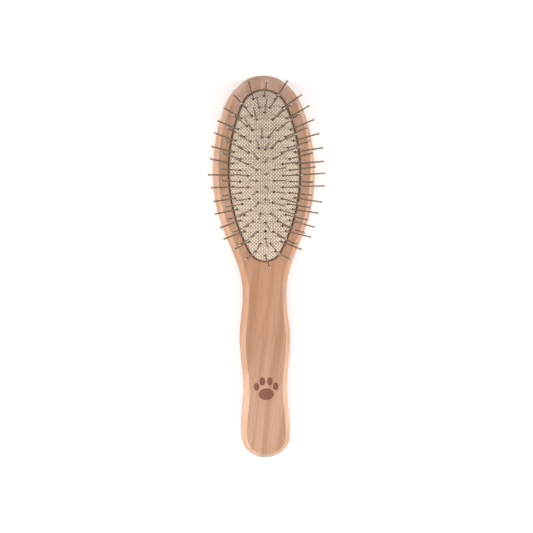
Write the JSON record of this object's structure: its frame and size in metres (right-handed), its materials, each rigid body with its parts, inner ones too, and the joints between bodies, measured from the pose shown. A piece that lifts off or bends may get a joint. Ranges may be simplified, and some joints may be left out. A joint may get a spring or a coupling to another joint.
{
  "type": "pin brush",
  "caption": "Flat wooden pet grooming brush with a waisted grip and an oval air cushion of woven cloth that carries rings of ball-tipped metal pins standing square to its dome.",
  "frame": {"origin": "the middle of the flat back face, under the middle of the brush's length", "axes": "+Y along the brush from the grip to the tip of the head; +Z out of the pin side; +X to the right with the head up and the pins facing you"},
  "size_m": [0.0648, 0.22, 0.0455],
  "materials": {
    "oiled_wood": "oiled, satin, straight grain along the handle",
    "woven_cloth": "plain weave of cream threads",
    "rubber": "matt brown",
    "foam": "matt, fine closed cells",
    "steel_pins": "drawn wire with polished ball tips"
  },
  "bodies": {
    "brush_body": {"wooden_body": "oiled_wood", "cushion_cloth": "woven_cloth", "cushion_rubber": "rubber", "cushion_foam": "foam"},
    "centre_row": {"pins_centre_row": "steel_pins"},
    "outer_handle_end": {"pins_outer_handle_end": "steel_pins"},
    "outer_right_low": {"pins_outer_right_low": "steel_pins"},
    "outer_right_mid": {"pins_outer_right_mid": "steel_pins"},
    "outer_right_high": {"pins_outer_right_high": "steel_pins"},
    "outer_tip_end": {"pins_outer_tip_end": "steel_pins"},
    "outer_left_high": {"pins_outer_left_high": "steel_pins"},
    "outer_left_mid": {"pins_outer_left_mid": "steel_pins"},
    "outer_left_low": {"pins_outer_left_low": "steel_pins"},
    "second_handle_end": {"pins_second_handle_end": "steel_pins"},
    "second_right_low": {"pins_second_right_low": "steel_pins"},
    "second_right_mid": {"pins_second_right_mid": "steel_pins"},
    "second_right_high": {"pins_second_right_high": "steel_pins"},
    "second_tip_end": {"pins_second_tip_end": "steel_pins"},
    "second_left_high": {"pins_second_left_high": "steel_pins"},
    "second_left_mid": {"pins_second_left_mid": "steel_pins"},
    "second_left_low": {"pins_second_left_low": "steel_pins"},
    "third_handle_end": {"pins_third_handle_end": "steel_pins"},
    "third_right_low": {"pins_third_right_low": "steel_pins"},
    "third_right_mid": {"pins_third_right_mid": "steel_pins"},
    "third_right_high": {"pins_third_right_high": "steel_pins"},
    "third_tip_end": {"pins_third_tip_end": "steel_pins"},
    "third_left_high": {"pins_third_left_high": "steel_pins"},
    "third_left_mid": {"pins_third_left_mid": "steel_pins"},
    "third_left_low": {"pins_third_left_low": "steel_pins"},
    "inner_handle_end": {"pins_inner_handle_end": "steel_pins"},
    "inner_right_low": {"pins_inner_right_low": "steel_pins"},
    "inner_right_high": {"pins_inner_right_high": "steel_pins"},
    "inner_tip_end": {"pins_inner_tip_end": "steel_pins"},
    "inner_left_high": {"pins_inner_left_high": "steel_pins"},
    "inner_left_low": {"pins_inner_left_low": "steel_pins"}
  },
  "joints": [
    {"name": "cushion_press", "type": "slide", "parent": "brush_body", "child": "centre_row", "axis": [0, 0, -1], "range_m": [0, 0.0035], "stiffness_N_per_m": 400, "deforming": ["cushion_cloth", "cushion_rubber", "cushion_foam"]},
    {"name": "tilt_outer_handle_end", "type": "hinge", "parent": "brush_body", "child": "outer_handle_end", "pos_m": [0, 0.00502, 0.01689], "axis": [-1, 0, 0], "range_deg": [0, 5.22]},
    {"name": "tilt_outer_right_low", "type": "hinge", "parent": "brush_body", "child": "outer_right_low", "pos_m": [0.01496, 0.02371, 0.01713], "axis": [-0.3538, -0.9353, 0], "range_deg": [0, 11.26]},
    {"name": "tilt_outer_right_mid", "type": "hinge", "parent": "brush_body", "child": "outer_right_mid", "pos_m": [0.02025, 0.05319, 0.0173], "axis": [-0.0196, -0.9998, 0], "range_deg": [0, 13.16]},
    {"name": "tilt_outer_right_high", "type": "hinge", "parent": "brush_body", "child": "outer_right_high", "pos_m": [0.01616, 0.08285, 0.01723], "axis": [0.3138, -0.9495, 0], "range_deg": [0, 11.73]},
    {"name": "tilt_outer_tip_end", "type": "hinge", "parent": "brush_body", "child": "outer_tip_end", "pos_m": [0, 0.10067, 0.01741], "axis": [1, 0, 0], "range_deg": [0, 8.32]},
    {"name": "tilt_outer_left_high", "type": "hinge", "parent": "brush_body", "child": "outer_left_high", "pos_m": [-0.01616, 0.08285, 0.01723], "axis": [0.3138, 0.9495, 0], "range_deg": [0, 11.73]},
    {"name": "tilt_outer_left_mid", "type": "hinge", "parent": "brush_body", "child": "outer_left_mid", "pos_m": [-0.02025, 0.05319, 0.0173], "axis": [-0.0196, 0.9998, 0], "range_deg": [0, 13.16]},
    {"name": "tilt_outer_left_low", "type": "hinge", "parent": "brush_body", "child": "outer_left_low", "pos_m": [-0.01496, 0.02371, 0.01713], "axis": [-0.3538, 0.9353, 0], "range_deg": [0, 11.26]},
    {"name": "tilt_second_handle_end", "type": "hinge", "parent": "brush_body", "child": "second_handle_end", "pos_m": [0, 0.00338, 0.0183], "axis": [-1, 0, 0], "range_deg": [0, 5]},
    {"name": "tilt_second_right_low", "type": "hinge", "parent": "brush_body", "child": "second_right_low", "pos_m": [0.01677, 0.02503, 0.01884], "axis": [-0.3971, -0.9178, 0], "range_deg": [0, 10.05]},
    {"name": "tilt_second_right_mid", "type": "hinge", "parent": "brush_body", "child": "second_right_mid", "pos_m": [0.02236, 0.05232, 0.01999], "axis": [-0.0344, -0.9994, 0], "range_deg": [0, 11.55]},
    {"name": "tilt_second_right_high", "type": "hinge", "parent": "brush_body", "child": "second_right_high", "pos_m": [0.01894, 0.08069, 0.01973], "axis": [0.3571, -0.9341, 0], "range_deg": [0, 9.92]},
    {"name": "tilt_second_tip_end", "type": "hinge", "parent": "brush_body", "child": "second_tip_end", "pos_m": [0, 0.10645, 0.01937], "axis": [1, 0, 0], "range_deg": [0, 5.13]},
    {"name": "tilt_second_left_high", "type": "hinge", "parent": "brush_body", "child": "second_left_high", "pos_m": [-0.01894, 0.08069, 0.01973], "axis": [0.3571, 0.9341, 0], "range_deg": [0, 9.92]},
    {"name": "tilt_second_left_mid", "type": "hinge", "parent": "brush_body", "child": "second_left_mid", "pos_m": [-0.02236, 0.05232, 0.01999], "axis": [-0.0344, 0.9994, 0], "range_deg": [0, 11.55]},
    {"name": "tilt_second_left_low", "type": "hinge", "parent": "brush_body", "child": "second_left_low", "pos_m": [-0.01677, 0.02503, 0.01884], "axis": [-0.3971, 0.9178, 0], "range_deg": [0, 10.05]},
    {"name": "tilt_third_handle_end", "type": "hinge", "parent": "brush_body", "child": "third_handle_end", "pos_m": [0, 0.00398, 0.01939], "axis": [-1, 0, 0], "range_deg": [0, 5.11]},
    {"name": "tilt_third_right_low", "type": "hinge", "parent": "brush_body", "child": "third_right_low", "pos_m": [0.02083, 0.02733, 0.02094], "axis": [-0.434, -0.9009, 0], "range_deg": [0, 8.42]},
    {"name": "tilt_third_right_mid", "type": "hinge", "parent": "brush_body", "child": "third_right_mid", "pos_m": [0.02639, 0.05179, 0.02223], "axis": [-0.0495, -0.9988, 0], "range_deg": [0, 8.99]},
    {"name": "tilt_third_right_high", "type": "hinge", "parent": "brush_body", "child": "third_right_high", "pos_m": [0.02359, 0.07784, 0.02168], "axis": [0.3655, -0.9308, 0], "range_deg": [0, 8.2]},
    {"name": "tilt_third_tip_end", "type": "hinge", "parent": "brush_body", "child": "third_tip_end", "pos_m": [0, 0.10687, 0.02045], "axis": [1, 0, 0], "range_deg": [0, 4.92]},
    {"name": "tilt_third_left_high", "type": "hinge", "parent": "brush_body", "child": "third_left_high", "pos_m": [-0.02359, 0.07784, 0.02168], "axis": [0.3655, 0.9308, 0], "range_deg": [0, 8.2]},
    {"name": "tilt_third_left_mid", "type": "hinge", "parent": "brush_body", "child": "third_left_mid", "pos_m": [-0.02639, 0.05179, 0.02223], "axis": [-0.0495, 0.9988, 0], "range_deg": [0, 8.99]},
    {"name": "tilt_third_left_low", "type": "hinge", "parent": "brush_body", "child": "third_left_low", "pos_m": [-0.02083, 0.02733, 0.02094], "axis": [-0.434, 0.9009, 0], "range_deg": [0, 8.42]},
    {"name": "tilt_inner_handle_end", "type": "hinge", "parent": "brush_body", "child": "inner_handle_end", "pos_m": [0, -0.00038, 0.02167], "axis": [-1, 0, 0], "range_deg": [0, 4.47]},
    {"name": "tilt_inner_right_low", "type": "hinge", "parent": "brush_body", "child": "inner_right_low", "pos_m": [0.0355, 0.0281, 0.02335], "axis": [-0.4464, -0.8949, 0], "range_deg": [0, 5.04]},
    {"name": "tilt_inner_right_high", "type": "hinge", "parent": "brush_body", "child": "inner_right_high", "pos_m": [0.04311, 0.07466, 0.02376], "axis": [0.3111, -0.9504, 0], "range_deg": [0, 4.5]},
    {"name": "tilt_inner_tip_end", "type": "hinge", "parent": "brush_body", "child": "inner_tip_end", "pos_m": [0, 0.11839, 0.02285], "axis": [1, 0, 0], "range_deg": [0, 3.65]},
    {"name": "tilt_inner_left_high", "type": "hinge", "parent": "brush_body", "child": "inner_left_high", "pos_m": [-0.04311, 0.07466, 0.02376], "axis": [0.3111, 0.9504, 0], "range_deg": [0, 4.5]},
    {"name": "tilt_inner_left_low", "type": "hinge", "parent": "brush_body", "child": "inner_left_low", "pos_m": [-0.0355, 0.0281, 0.02335], "axis": [-0.4464, 0.8949, 0], "range_deg": [0, 5.04]}
  ],
  "couplings": [
    {"joint": "tilt_outer_handle_end", "follows": "cushion_press", "rad_per_m": 26.029},
    {"joint": "tilt_outer_right_low", "follows": "cushion_press", "rad_per_m": 56.156},
    {"joint": "tilt_outer_right_mid", "follows": "cushion_press", "rad_per_m": 65.608},
    {"joint": "tilt_outer_right_high", "follows": "cushion_press", "rad_per_m": 58.487},
    {"joint": "tilt_outer_tip_end", "follows": "cushion_press", "rad_per_m": 41.495},
    {"joint": "tilt_outer_left_high", "follows": "cushion_press", "rad_per_m": 58.487},
    {"joint": "tilt_outer_left_mid", "follows": "cushion_press", "rad_per_m": 65.608},
    {"joint": "tilt_outer_left_low", "follows": "cushion_press", "rad_per_m": 56.156},
    {"joint": "tilt_second_handle_end", "follows": "cushion_press", "rad_per_m": 24.915},
    {"joint": "tilt_second_right_low", "follows": "cushion_press", "rad_per_m": 50.118},
    {"joint": "tilt_second_right_mid", "follows": "cushion_press", "rad_per_m": 57.598},
    {"joint": "tilt_second_right_high", "follows": "cushion_press", "rad_per_m": 49.471},
    {"joint": "tilt_second_tip_end", "follows": "cushion_press", "rad_per_m": 25.594},
    {"joint": "tilt_second_left_high", "follows": "cushion_press", "rad_per_m": 49.471},
    {"joint": "tilt_second_left_mid", "follows": "cushion_press", "rad_per_m": 57.598},
    {"joint": "tilt_second_left_low", "follows": "cushion_press", "rad_per_m": 50.118},
    {"joint": "tilt_third_handle_end", "follows": "cushion_press", "rad_per_m": 25.455},
    {"joint": "tilt_third_right_low", "follows": "cushion_press", "rad_per_m": 41.999},
    {"joint": "tilt_third_right_mid", "follows": "cushion_press", "rad_per_m": 44.829},
    {"joint": "tilt_third_right_high", "follows": "cushion_press", "rad_per_m": 40.881},
    {"joint": "tilt_third_tip_end", "follows": "cushion_press", "rad_per_m": 24.534},
    {"joint": "tilt_third_left_high", "follows": "cushion_press", "rad_per_m": 40.881},
    {"joint": "tilt_third_left_mid", "follows": "cushion_press", "rad_per_m": 44.829},
    {"joint": "tilt_third_left_low", "follows": "cushion_press", "rad_per_m": 41.999},
    {"joint": "tilt_inner_handle_end", "follows": "cushion_press", "rad_per_m": 22.288},
    {"joint": "tilt_inner_right_low", "follows": "cushion_press", "rad_per_m": 25.12},
    {"joint": "tilt_inner_right_high", "follows": "cushion_press", "rad_per_m": 22.433},
    {"joint": "tilt_inner_tip_end", "follows": "cushion_press", "rad_per_m": 18.198},
    {"joint": "tilt_inner_left_high", "follows": "cushion_press", "rad_per_m": 22.433},
    {"joint": "tilt_inner_left_low", "follows": "cushion_press", "rad_per_m": 25.12}
  ]
}
